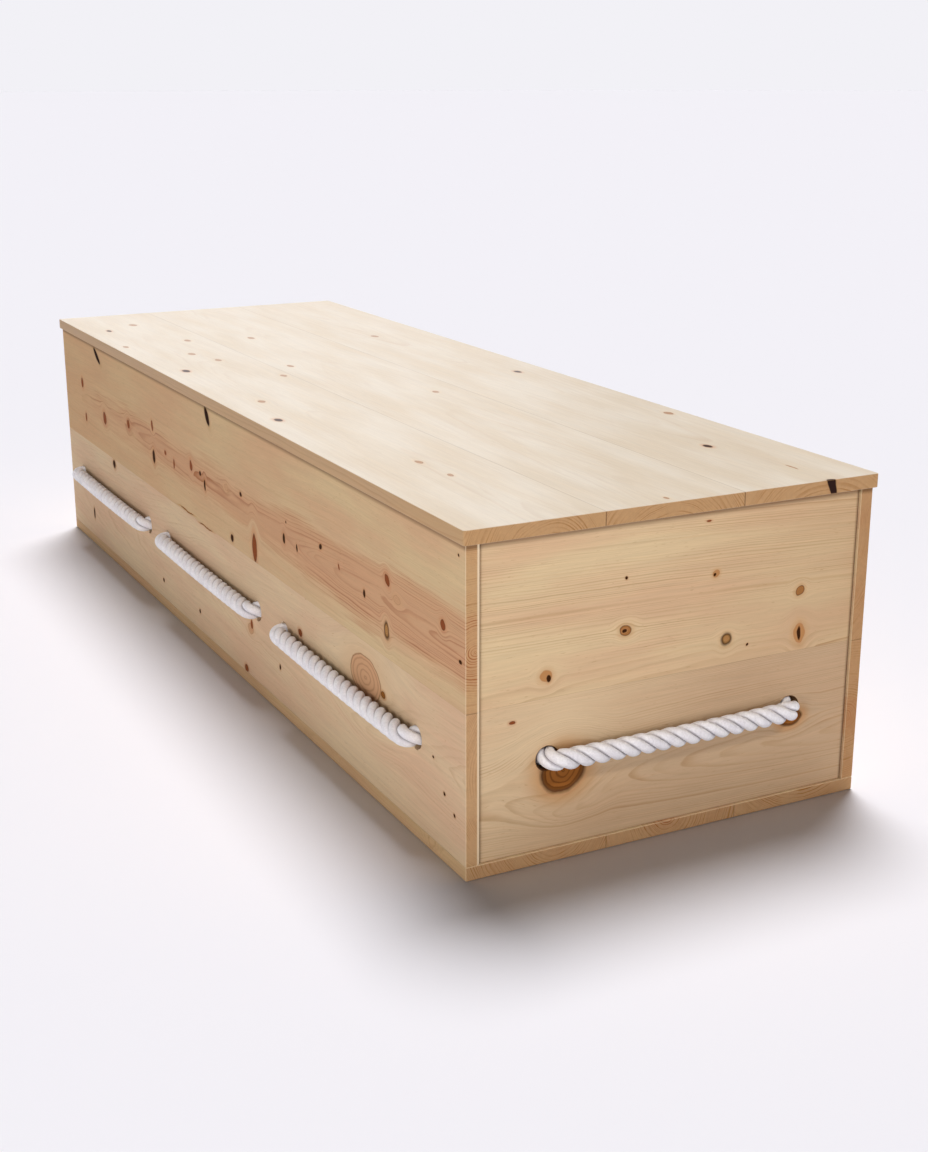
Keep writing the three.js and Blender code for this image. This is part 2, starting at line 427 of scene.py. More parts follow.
def planedPineMaterial(name, board, plank):
    material, tree = newMaterial("planed pine, " + name)
    pine = {**planedPine, **board.get("pine", {}), **plank.get("pine", {})}
    vector = "ShaderNodeVectorMath"
    number = "ShaderNodeMath"
    remap = "ShaderNodeMapRange"
    noise = "ShaderNodeTexNoise"
    mix = "ShaderNodeMix"
    seed = plank["seed"]
    where = addNode(tree, "ShaderNodeTexCoord")
    xyz = addNode(tree, "ShaderNodeSeparateXYZ", where.outputs["Object"])
    grain = addNode(tree, "ShaderNodeCombineXYZ", *[xyz.outputs[axis] for axis in board["axes"]])
    inMillimetres = (1000, 1000, 1000 * board["outward"])
    wood = addNode(tree, vector, grain, inMillimetres, (0, 0, -board["face"]), operation="MULTIPLY_ADD")

    # Knots push the rings aside and leave their own ovals, a little uneven round the edge.
    wander = pineKnot["unevenReach"]
    uneven = addNode(tree, noise, wood, Scale=1 / pineKnot["unevenSize"], Detail=2.5)
    jitter = addNode(
        tree, vector, uneven.outputs["Color"], (wander, wander, 0), (-wander / 2, -wander / 2, 0),
        operation="MULTIPLY_ADD")
    place = addNode(tree, "ShaderNodeSeparateXYZ", wood)
    deep = place.outputs["Z"]
    lifted = addNode(tree, number, deep, pineKnot["slant"], operation="MULTIPLY")
    slant = addNode(tree, "ShaderNodeCombineXYZ", 0.0, lifted)
    taper = addNode(tree, number, deep, -pineKnot["taper"], 1.0, operation="MULTIPLY_ADD")
    slanted = addNode(tree, vector, wood, slant, operation="ADD")
    outline = addNode(tree, vector, slanted, jitter, operation="ADD")
    bent = wood
    nearest = {}
    for along, across, long, tall, tilt, kind in plank["knots"]:
        turned = outline
        if tilt:
            turned = addNode(
                tree, "ShaderNodeMapping", outline, (along, across, 0), (0, 0, math.radians(tilt)),
                vector_type="TEXTURE")
        middle = (0, 0, 0) if tilt else (-2 * along / long, -2 * across / tall, 0)
        share = addNode(tree, vector, turned, (2 / long, 2 / tall, 0), middle, operation="MULTIPLY_ADD")
        away = addNode(tree, vector, share, operation="LENGTH")
        nearest[kind] = addNode(tree, number, nearest.get(kind, 9.0), away, operation="MINIMUM")
        if long * tall > pineKnot["pushing"]:
            pull = addNode(tree, remap, away, 0.7, 3.6, 0.9, 0.0, interpolation_type="SMOOTHSTEP")
            offset = addNode(tree, vector, wood, (along, across, 0), operation="SUBTRACT")
            push = addNode(tree, vector, offset, Scale=pull, operation="SCALE")
            bent = addNode(tree, vector, bent, push, operation="SUBTRACT")

    # The tree never grew quite straight.
    for sizes, reach in (((620, 150, 150), pine["slowWander"]), ((85, 20, 20), pine["quickWander"])):
        spread = tuple(1 / size for size in sizes)
        spot = addNode(tree, vector, wood, spread, (seed, seed * 1.7, 0), operation="MULTIPLY_ADD")
        drift = addNode(tree, noise, spot, Scale=1, Detail=1.5)
        shift = addNode(
            tree, vector, drift.outputs["Color"], (0, 4 * reach, 4 * reach), (0, -2 * reach, -2 * reach),
            operation="MULTIPLY_ADD")
        bent = addNode(tree, vector, bent, shift, operation="ADD")

    # Rings, each a soft rise to a hard edge, some years darker than others
    alongBoard = xyz.outputs[board["axes"][0]]
    lean = addNode(tree, vector, (0, *plank["lean"]), Scale=alongBoard, operation="SCALE")
    centred = addNode(tree, vector, bent, (0, *plank["heart"]), operation="SUBTRACT")
    leaned = addNode(tree, vector, centred, lean, operation="SUBTRACT")
    flat = addNode(tree, vector, leaned, (0, 1, 1), operation="MULTIPLY")
    radius = addNode(tree, vector, flat, operation="LENGTH")
    years = addNode(tree, noise, noise_dimensions="1D", W=radius, Scale=0.05, Detail=1)
    count = addNode(tree, number, radius, 1 / pine["ringWidth"], operation="MULTIPLY")
    spaced = addNode(tree, number, years.outputs["Fac"], 6.0, count, operation="MULTIPLY_ADD")
    share = addNode(tree, number, spaced, operation="FRACT")
    rise = addNode(tree, remap, share, 0.45, 0.92, 0.0, 1.0, interpolation_type="SMOOTHSTEP")
    fall = addNode(tree, remap, share, 0.92, 1.0, 1.0, 0.0, interpolation_type="SMOOTHSTEP")
    late = addNode(tree, number, rise, fall, operation="MULTIPLY")
    year = addNode(tree, number, spaced, operation="FLOOR")
    dry = addNode(tree, "ShaderNodeTexWhiteNoise", noise_dimensions="1D", W=year)
    yearShare = addNode(tree, remap, dry.outputs["Value"], 0.0, 1.0, 0.25, 1.0)
    fadeSpot = addNode(
        tree, vector, wood, (1 / 380, 1 / 34, 1 / 34), (seed * 2.3, 0, seed), operation="MULTIPLY_ADD")
    fadeNoise = addNode(tree, noise, fadeSpot, Scale=1, Detail=2)
    fade = addNode(tree, remap, fadeNoise.outputs["Fac"], 0.36, 0.64, 0.08, 1.0)
    clear = addNode(tree, number, yearShare, fade, operation="MULTIPLY")
    ring = addNode(tree, number, late, clear, operation="MULTIPLY")

    # Fibre: streaks a hand long and a few millimetres wide, and fine ones of half a millimetre.
    streakSpot = addNode(
        tree, vector, bent, (1 / 150, 1 / 4.5, 1 / 4.5), (0, seed, 0), operation="MULTIPLY_ADD")
    streak = addNode(tree, noise, streakSpot, Scale=1, Detail=2)
    fibreSpot = addNode(tree, vector, bent, (1 / 32, 1 / 0.7, 1 / 0.7), operation="MULTIPLY")
    fibre = addNode(tree, noise, fibreSpot, Scale=1, Detail=2)

    # Colour: slow blotches, the heart's redder wood with its ragged edge, then end grain and edges.
    blotchSpot = addNode(
        tree, vector, bent, (1 / 260, 1 / 52, 1 / 52), (seed, 0, seed * 3.1), operation="MULTIPLY_ADD")
    blotch = addNode(tree, noise, blotchSpot, Scale=1, Detail=3)
    warmth = addNode(tree, remap, blotch.outputs["Fac"], 0.36, 0.64, 0.0, 1.0)
    body = addNode(tree, mix, warmth, linear(pine["pale"]), linear(pine["warm"]), data_type="RGBA")
    # Painted shade: drift darkens the tone from one spot towards another, where less light falls.
    if "drift" in plank:
        start, stop = (Vector((*plank["drift"][end], 0)) for end in ("from", "to"))
        way = (stop - start) / (stop - start).length_squared
        along = addNode(tree, vector, wood, tuple(start), operation="SUBTRACT")
        reached = addNode(tree, vector, along, tuple(way), operation="DOT_PRODUCT")
        driftShadeShare = addNode(tree, remap, reached, 0.0, 1.0, 0.0, plank["drift"]["share"])
        body = addNode(tree, mix, driftShadeShare, body, linear(plank["drift"]["tone"]), data_type="RGBA")
    spread = addNode(
        tree, number, blotch.outputs["Fac"], pine["heartBlotch"], radius, operation="MULTIPLY_ADD")
    ragged = addNode(
        tree, number, streak.outputs["Fac"], pine["heartStreak"], spread, operation="MULTIPLY_ADD")
    heartEdge = plank["heartwood"] + (pine["heartBlotch"] + pine["heartStreak"]) / 2
    heartwood = addNode(
        tree, remap, ragged, heartEdge - pine["heartSoft"], heartEdge + pine["heartSoft"], 1.0, 0.0,
        interpolation_type="SMOOTHSTEP")
    heartShare = addNode(tree, number, heartwood, 0.72, operation="MULTIPLY")
    reddened = addNode(tree, mix, heartShare, body, linear(pine["heart"]), data_type="RGBA")
    normal = addNode(tree, "ShaderNodeSeparateXYZ", where.outputs["Normal"])
    endways, flatways, through = (
        addNode(tree, number, normal.outputs[axis], operation="ABSOLUTE") for axis in board["axes"])
    edge = addNode(tree, remap, through, 0.35, 0.75, pine["edgeShare"], 0.0)
    edged = addNode(tree, mix, edge, reddened, linear(pine["edge"]), data_type="RGBA")
    cut = addNode(tree, remap, endways, 0.5, 0.8, 0.0, 1.0)
    cutShare = addNode(tree, number, cut, 0.7, operation="MULTIPLY")
    ground = addNode(tree, mix, cutShare, edged, linear(pine["endGrain"]), data_type="RGBA")
    contrast = addNode(tree, remap, heartwood, 0.0, 1.0, pine["ringStrength"], pine["heartStrength"])
    cutContrast = addNode(tree, number, cut, pine["cutStrength"], contrast, operation="MULTIPLY_ADD")
    edgeContrast = addNode(tree, number, edge, pine["edgeRings"], cutContrast, operation="MULTIPLY_ADD")
    ringShare = addNode(tree, number, ring, edgeContrast, operation="MULTIPLY")
    lineTone = addNode(
        tree, mix, heartwood, linear(pine["lateWood"]), linear(pine["heartLine"]), data_type="RGBA")
    ringed = addNode(tree, mix, ringShare, ground, lineTone, data_type="RGBA")
    both = addNode(tree, number, streak.outputs["Fac"], fibre.outputs["Fac"], operation="ADD")
    shade = addNode(tree, remap, both, 0.6, 1.4, 0.92, 1.07)
    fibrous = addNode(tree, vector, ringed, Scale=shade, operation="SCALE")
    fleckLong, fleckWide = pine["fleck"]
    fleckSpread = (1 / fleckLong, 1 / fleckWide, 1 / fleckWide)
    fleckSpot = addNode(tree, vector, bent, fleckSpread, (seed, 0, 0), operation="MULTIPLY_ADD")
    fleckNoise = addNode(tree, noise, fleckSpot, Scale=1, Detail=0)
    fleck = addNode(tree, remap, fleckNoise.outputs["Fac"], 0.77, 0.86, 0.0, pine["fleckShare"])
    colour = addNode(tree, mix, fleck, fibrous, linear(pine["lateWood"]), data_type="RGBA")

    # Glue lines where two planks meet, on the end grain and, fainter, on the lid's face
    glueShown = addNode(tree, number, cut, pine["faceGlue"], operation="MAXIMUM")
    for seam in board["seams"]:
        fromSeam = addNode(tree, number, place.outputs["Y"], seam, operation="SUBTRACT")
        beside = addNode(tree, number, fromSeam, operation="ABSOLUTE")
        line = addNode(tree, remap, beside, 0.2, 1.1, pine["glueShare"], 0.0)
        shown = addNode(tree, number, line, glueShown, operation="MULTIPLY")
        colour = addNode(tree, mix, shown, colour, linear(pine["glueLine"]), data_type="RGBA")

    # Knots: a halo, the core with its circles, then the rim
    for kind, closest in nearest.items():
        coreTone, rimTone, haloTone, rimShare, haloShare, circleShare = knotTones[kind]
        away = addNode(tree, number, closest, taper, operation="MULTIPLY")
        halo = addNode(tree, remap, away, 0.9, 2.1, haloShare, 0.0, interpolation_type="SMOOTHSTEP")
        tinted = addNode(tree, mix, halo, colour, linear(haloTone), data_type="RGBA")
        core = addNode(tree, remap, away, 0.84, 1.0, 1.0, 0.0, interpolation_type="SMOOTHSTEP")
        rising = addNode(tree, number, away, pineKnot["circles"], operation="MULTIPLY")
        circles = addNode(tree, number, rising, operation="SINE")
        coreRing = addNode(tree, remap, circles, 0.2, 1.0, 0.0, circleShare)
        coreColour = addNode(tree, mix, coreRing, linear(coreTone), linear(rimTone), data_type="RGBA")
        filled = addNode(tree, mix, core, tinted, coreColour, data_type="RGBA")
        fromRim = addNode(tree, number, away, 0.94, operation="SUBTRACT")
        offRim = addNode(tree, number, fromRim, operation="ABSOLUTE")
        rim = addNode(tree, remap, offRim, 0.0, rimShare, 0.85, 0.0)
        colour = addNode(tree, mix, rim, filled, linear(rimTone), data_type="RGBA")

    # Painted shade where another board meets this one, most of it as the shadow under the lid, then the
    # arrises
    if "joints" in board:
        shadeMiddle = (board["middle"][0], board["middle"][1] - pine["lidShade"], 0)
        offMiddle = addNode(tree, vector, wood, shadeMiddle, operation="SUBTRACT")
        fromMiddle = addNode(tree, vector, offMiddle, operation="ABSOLUTE")
        reach = addNode(tree, "ShaderNodeSeparateXYZ", fromMiddle)
        for axis, half, share in zip("XY", board["half"], board["joints"]):
            shade = addNode(tree, remap, reach.outputs[axis], half - pine["jointReach"], half, 0.0, share)
            colour = addNode(tree, mix, shade, colour, linear(pine["jointShadeTone"]), data_type="RGBA")
    # Painted highlight on the inside of a side's end cut, where a sunlit arris shows.
    if "innerHighlight" in board:
        full, faded = (reach - board["thickness"] for reach in pine["innerHighlightReach"])
        inner = addNode(tree, remap, deep, faded, full, 0.0, board["innerHighlight"])
        shown = addNode(tree, number, inner, cut, operation="MULTIPLY")
        colour = addNode(tree, mix, shown, colour, linear(pine["endArrisLightAndShade"]), data_type="RGBA")
    # Arrises: a pale tone is painted highlight on sanded edges, a dark one painted shade in the joints. worn
    # is how much of it shows, and carries both.
    squarer = addNode(tree, number, endways, flatways, operation="MAXIMUM")
    squarest = addNode(tree, number, squarer, through, operation="MAXIMUM")
    worn = addNode(tree, remap, squarest, 0.78, 0.97, pine["arrisShare"], 0.0)
    across = addNode(tree, remap, endways, 0.15, 0.3, 0.0, 1.0)
    arris = addNode(tree, mix, across, linear(pine["sideArrisLightAndShade"]), linear(pine["endArrisLightAndShade"]), data_type="RGBA")
    colour = addNode(tree, mix, worn, colour, arris, data_type="RGBA")

    reliefSpot = addNode(tree, vector, wood, (1 / 32, 1 / 0.9, 1 / 0.9), operation="MULTIPLY")
    height = addNode(tree, noise, reliefSpot, Scale=1, Detail=2)
    relief = addNode(
        tree, "ShaderNodeBump", Height=height.outputs["Fac"], Strength=0.5, Distance=pine["relief"] / 1000)
    polish = addNode(tree, remap, streak.outputs["Fac"], 0.3, 0.7, *pine["roughness"])
    surface = addNode(
        tree, "ShaderNodeBsdfPrincipled", colour, 0.0, polish, 1.5, None, relief,
        **{"Specular IOR Level": pine["gloss"]})
    addNode(tree, "ShaderNodeOutputMaterial", surface)
    return material


# Small knots scattered over a plank that the photo doesn't show.
def scatteredKnots(seed, count, reach, low, high):
    draw = random.Random(seed)
    margin = 15
    knots = []
    for _ in range(count):
        kind = draw.choice(["sound", "red", "dark", "dark"])
        tall = draw.uniform(6, 12) if kind == "dark" else draw.uniform(12, 30)
        spot = (draw.uniform(-reach, reach), draw.uniform(low + margin, high - margin))
        knots.append((*spot, tall * draw.uniform(1, 1.6), tall, draw.uniform(-25, 25), kind))
    return knots


# Boards. Each is glued up from planks, and its size and place come from the model. axes are its
# long way, its wide way and the way through it, and joints how dark the painted shade is where other
# boards meet it, at its ends and along its edges. The lowest plank comes first. heart is where the
# heart of the tree lies, across the plank and out of its face, lean how far it moves for each metre
# along, heartwood the radius of the redder wood, and drift a painted shade that deepens from one
# spot towards another. A knot is given by its place along and across, its size along and across,
# its tilt in degrees and its kind.
boardCut = {
    "arris": 1.2,
    "arrisSteps": 4,
    "seamWidth": 0.6,
    "seamDepth": 0.12,
    "drillSides": 48,
    "drillPast": 3,         # how far the drill stands out of the board's faces
}

sideRight = {
    # pale arrises at its ends are painted highlight, dark ones along it painted shade in the joints
    "node": "side_right", "slot": "pine_sides", "axes": "XZY", "outward": -1, "seams": [224], "corner": 0,
    # innerHighlight paints a highlight on the inside of the end cut
    "pine": {"sideArrisLightAndShade": "#6b4628", "endArrisLightAndShade": "#ffeccb"}, "joints": (0, 0.6), "innerHighlight": 0.75,
    "planks": [
        {
            "name": "right side, lower plank", "seed": 3.1,
            "heart": (118, -150), "lean": (20, 40), "heartwood": 0,
            "pine": {"pale": "#e5cba6", "warm": "#e2bf9d", "ringStrength": 0.2},
            "knots": [
                (639, 172, 107, 66, 0, "sound"), (697, 166, 13, 9, 0, "brown"), (398, 163, 15, 12, 0, "red"),
                (178, 103, 26, 20, 0, "sound"), (184, 112, 10, 14, 0, "red"), (151, 26, 16, 12, 0, "red"),
                (-774, 70, 11, 21, 0, "dark"), (-294, 54, 8, 8, 0, "dark"), (-84, 55, 8, 8, 0, "dark"),
                (307, 78, 7, 9, 0, "dark"), (-592, 214, 20, 17, 0, "dark"), (849, 134, 5, 4, 0, "dark"),
                (880, 96, 6, 5, 0, "dark"), (909, 78, 6, 5, 0, "dark"), (-28, 222, 62, 2.6, 0, "brown"),
            ],
        },
        {
            "name": "right side, upper plank", "seed": 7.4,
            "heart": (306, -32), "lean": (-6, 22), "heartwood": 46,
            "pine": {
                "pale": "#dec398", "warm": "#dbb68f", "heart": "#d3a07b", "slowWander": 8, "quickWander": 1.1,
                "ringStrength": 0.16,
            },
            # painted shade, darker towards the head end
            "drift": {"from": (600, 330), "to": (-940, 330), "tone": "#d4a779", "share": 0.5},
            "knots": [
                (212, 247, 19, 46, 2, "red"), (712, 263, 14, 22, 8, "ringed"),
                (106, 237, 14, 14, 0, "dark"), (-130, 227, 66, 2.6, 0, "brown"),
                (-314, 286, 16, 26, 0, "dark"), (-95, 315, 14, 19, 15, "red"), (-46, 312, 11, 8, 0, "dark"),
                (-23, 296, 9, 18, 5, "dark"), (86, 318, 20, 12, 0, "sound"), (156, 321, 11, 8, 0, "dark"),
                (343, 295, 11, 16, 5, "dark"), (352, 323, 4, 4, 0, "dark"), (395, 294, 6, 12, 5, "dark"),
                (488, 320, 11, 8, 20, "dark"), (554, 308, 5, 10, 20, "red"), (641, 294, 8, 11, 20, "dark"),
                (716, 332, 13, 18, 30, "red"), (746, 314, 22, 13, 0, "sound"), (879, 321, 14, 14, 15, "red"),
                (926, 288, 8, 6, 0, "dark"), (922, 420, 4, 4, 0, "dark"), (-674, 418, 13, 50, 60, "black"),
                (3, 421, 16, 36, 36, "black"), (-802, 343, 15, 20, 10, "red"), (-788, 273, 11, 17, 0, "red"),
                (-642, 298, 22, 24, 10, "red"), (-472, 317, 15, 19, 30, "red"),
                (-315, 344, 11, 19, 15, "red"),
                (-241, 308, 11, 9, 0, "red"), (-192, 298, 8, 16, 0, "red"),
            ],
        },
    ],
}
sideLeft = {
    "node": "side_left", "slot": "pine_sides", "axes": "XZY", "outward": 1, "seams": [224], "corner": 0,
    # dark arrises along the board: painted shade where the lid and bottom meet it
    "pine": {"sideArrisLightAndShade": "#6b4628", "endGrain": "#b58357"}, "joints": (0, 0.6),
    "planks": [
        {
            "name": "left side, lower plank", "seed": 11.9,
            "heart": (130, -48), "lean": (-20, 30), "heartwood": 30,
            "knots": scatteredKnots(21, 12, 880, 19, 224),
        },
        {
            "name": "left side, upper plank", "seed": 15.3,
            "heart": (340, -95), "lean": (24, -30), "heartwood": 0,
            "knots": scatteredKnots(22, 14, 880, 224, 438),
        },
    ],
}
endFoot = {
    "node": "end_foot", "slot": "pine_ends", "axes": "YZX", "outward": 1, "seams": [224], "corner": 0,
    # dark arrises and joints: painted shade where the sides, lid and bottom meet this board
    "pine": {"sideArrisLightAndShade": "#6b4628", "endArrisLightAndShade": "#5a3820", "arrisShare": 0.9}, "joints": (0.9, 0.6),
    "planks": [
        {
            "name": "foot end, lower plank", "seed": 19.2,
            "heart": (96, -46), "lean": (10, 60), "heartwood": 0,
            "pine": {"pale": "#e6cba5", "warm": "#e1c19b", "ringStrength": 0.5},
            # painted shade, darker towards the bottom
            "drift": {"from": (-170, 190), "to": (-60, 60), "tone": "#b8977b", "share": 0.45},
            "knots": [
                # The second of these is painted shadow under the rope's right end, drawn as a brown knot.
                (-165, 121, 63, 56, 0, "brown"), (192, 128, 38, 24, 0, "brown"), (-239, 200, 8, 5, 0, "red"),
            ],
        },
        {
            "name": "foot end, upper plank", "seed": 23.6,
            "heart": (205, -96), "lean": (-50, 30), "heartwood": 0,
            "pine": {"pale": "#e8cea4", "warm": "#e2bf99", "ringStrength": 0.6},
            # painted shade, darker along the plank towards the left side board
            "drift": {"from": (-60, 330), "to": (280, 300), "tone": "#c9a57f", "share": 0.5},
            "knots": [
                (-191, 253, 17, 17, 0, "amber"), (-76, 295, 17, 14, 0, "eyed"),
                (79, 258, 15, 16, 0, "ringed"),
                (-188, 249, 7, 11, 0, "dark"), (-77, 295, 7, 5, 20, "dark"), (199, 248, 20, 28, 0, "amber"),
                (199, 248, 7, 20, 0, "dark"), (196, 308, 14, 13, 0, "eyed"), (59, 351, 11, 10, 0, "amber"),
                (57, 350, 4.5, 4.5, 0, "dark"), (113, 246, 4, 4, 0, "dark"), (-78, 364, 4.5, 4.5, 0, "dark"),
                (45, 423, 8, 3, 0, "red"),
            ],
        },
    ],
}
endHead = {
    "node": "end_head", "slot": "pine_ends", "axes": "YZX", "outward": -1, "seams": [224], "corner": 0,
    # dark arrises and joints: painted shade where the sides, lid and bottom meet this board
    "pine": {"sideArrisLightAndShade": "#6b4628", "endArrisLightAndShade": "#5a3820", "arrisShare": 0.9}, "joints": (0.7, 0.6),
    "planks": [
        {
            "name": "head end, lower plank", "seed": 27.5,
            "heart": (150, -70), "lean": (35, 40), "heartwood": 0,
            "knots": scatteredKnots(31, 4, 260, 19, 224),
        },
        {
            "name": "head end, upper plank", "seed": 31.7,
            "heart": (300, -60), "lean": (-30, 45), "heartwood": 34,
            "knots": scatteredKnots(32, 6, 260, 224, 438),
        },
    ],
}
lidBoard = {
    "node": "lid", "slot": "pine_lid", "axes": "XYZ", "outward": 1, "seams": [-115, 92], "corner": 4,
    "pine": {
        "pale": "#dacfbd", "warm": "#d4c5ae", "heart": "#d8b894", "edge": "#c79d69", "edgeShare": 0.85,
        "endArrisLightAndShade": "#c9a277", "sideArrisLightAndShade": "#c9a277", "arrisShare": 0.3,
        "ringWidth": 4.2, "ringStrength": 0.16, "roughness": (0.34, 0.4), "gloss": 0.08,
        "relief": 0.03, "fleckShare": 0.25, "glueShare": 0.75, "faceGlue": 0.4,
    },
    "planks": [
        {
            "name": "lid, right plank", "seed": 35.1,
            "heart": (-205, -80), "lean": (15, 30), "heartwood": 0,
            "knots": [
                (-787, -194, 26, 14, 0, "pale"), (-731, -261, 22, 9, 0, "dark"),
                (-521, -288, 20, 9, 0, "pale"), (-541, -158, 24, 12, 0, "pale"),
                (-385, -200, 22, 12, 0, "pale"), (-299, -178, 22, 12, 0, "pale"),
                (-217, -266, 24, 12, 0, "dark"), (254, -274, 22, 12, 0, "dark"),
                (106, -245, 20, 10, 0, "pale"), (605, -205, 20, 9, 0, "pale"),
                (692, -200, 16, 8, 0, "pale"), (-95, -130, 22, 10, 0, "pale"),
            ],
        },
        {
            "name": "lid, middle plank", "seed": 39.4,
            "heart": (-10, -110), "lean": (-12, 40), "heartwood": 0,
            "knots": [
                (-512, -36, 24, 12, 0, "pale"), (-179, -84, 22, 11, 0, "pale"), (925, -14, 11, 6, 0, "pale"),
                (160, 40, 18, 9, 0, "pale"),
            ],
        },
        {
            "name": "lid, left plank", "seed": 43.8,
            "heart": (210, -72), "lean": (18, -35), "heartwood": 0,
            "knots": [
                (485, 283, 22, 12, 0, "pale"), (705, 203, 20, 11, 0, "dark"), (863, 229, 30, 4, 0, "pale"),
                (945, 229, 8, 13, 0, "black"), (-420, 190, 24, 12, 0, "pale"), (60, 250, 20, 10, 0, "dark"),
            ],
        },
    ],
}
bottomBoard = {
    "node": "bottom_board", "slot": "pine_bottom", "axes": "XYZ", "outward": -1, "seams": [-100, 103],
    "corner": 0,
    "pine": {"endGrain": "#b98f68", "edgeShare": 0.5, "ringWidth": 3.6, "cutStrength": 0.9},
    "planks": [
        {
            "name": "bottom, right plank", "seed": 47.3,
            "heart": (-190, -75), "lean": (16, 30), "heartwood": 0,
            "knots": scatteredKnots(41, 8, 880, -305, -100),
        },
        {
            "name": "bottom, middle plank", "seed": 51.2,
            "heart": (10, -60), "lean": (-14, 30), "heartwood": 24,
            "knots": scatteredKnots(42, 8, 880, -100, 103),
        },
        {
            "name": "bottom, left plank", "seed": 55.6,
            "heart": (215, -90), "lean": (12, -30), "heartwood": 0,
            "knots": scatteredKnots(43, 8, 880, 103, 305),
        },
    ],
}


# One ring of the board's outline, across and through, drawn in from its full size.
def boardRing(wide, thick, seams, inAcross, inThrough):
    cut = boardCut
    x, y, arris = wide / 2 - inAcross, thick / 2 - inThrough, cut["arris"]
    notch = cut["seamWidth"] / 2
    groove = ((-notch, 0), (0, cut["seamDepth"]), (notch, 0))
    face = [(at + side, y - deep) for at in seams for side, deep in groove]
    ring = [(across, -through) for across, through in face]
    for sx, sy, quarter in ((1, -1, 3), (1, 1, 0), (-1, 1, 1), (-1, -1, 2)):
        for step in range(cut["arrisSteps"] + 1):
            angle = (quarter + step / cut["arrisSteps"]) * math.pi / 2
            across = sx * (x - arris) + arris * math.cos(angle)
            ring.append((across, sy * (y - arris) + arris * math.sin(angle)))
        if (sx, sy) == (1, 1):
            ring += [(across, through) for across, through in reversed(face)]
    return ring


# The rings of one end, from where its easing starts to its face.
def endRings(corner):
    arris = boardCut["arris"]
    reach = max(corner, arris)
    steps = boardCut["arrisSteps"] * (2 if corner else 1)
    rings = []
    for step in range(steps + 1):
        angle = step / steps * math.pi / 2
        back = reach * (1 - math.sin(angle))
        share = max(0, 1 - back / arris)
        rings.append((back, reach * (1 - math.cos(angle)), arris * (1 - math.sqrt(1 - share * share))))
    return rings


# One cutter for all the holes of a board, flared at both faces so that it eases their mouths.
def holeDrill(name, spots, axis, thick):
    radius = ropeHandle["holeRadius"]
    ease = boardCut["arris"]
    past = boardCut["drillPast"]
    sides = boardCut["drillSides"]
    profile = [
        (radius + ease + past, thick / 2 + past),
        (radius, thick / 2 - ease),
        (radius, -thick / 2 + ease),
        (radius + ease + past, -thick / 2 - past),
    ]
    mesh = bpy.data.meshes.new(name)
    drill = bmesh.new()
    turn = Vector((0, 0, 1)).rotation_difference(axis).to_matrix()
    for spot in spots:
        rows = []
        for reach, through in profile:
            row = []
            for at in range(sides):
                angle = 2 * math.pi * at / sides
                rim = Vector((reach * math.cos(angle), reach * math.sin(angle), through))
                row.append(drill.verts.new((spot + turn @ rim) / 1000))
            rows.append(row)
        for upper, lower in zip(rows, rows[1:]):
            for at in range(sides):
                drill.faces.new((upper[at], upper[(at + 1) % sides], lower[(at + 1) % sides], lower[at]))
        drill.faces.new(rows[0])
        drill.faces.new(rows[-1][::-1])
    bmesh.ops.recalc_face_normals(drill, faces=drill.faces)
    drill.to_mesh(mesh)
    drill.free()
    return bpy.data.objects.new(name, mesh)


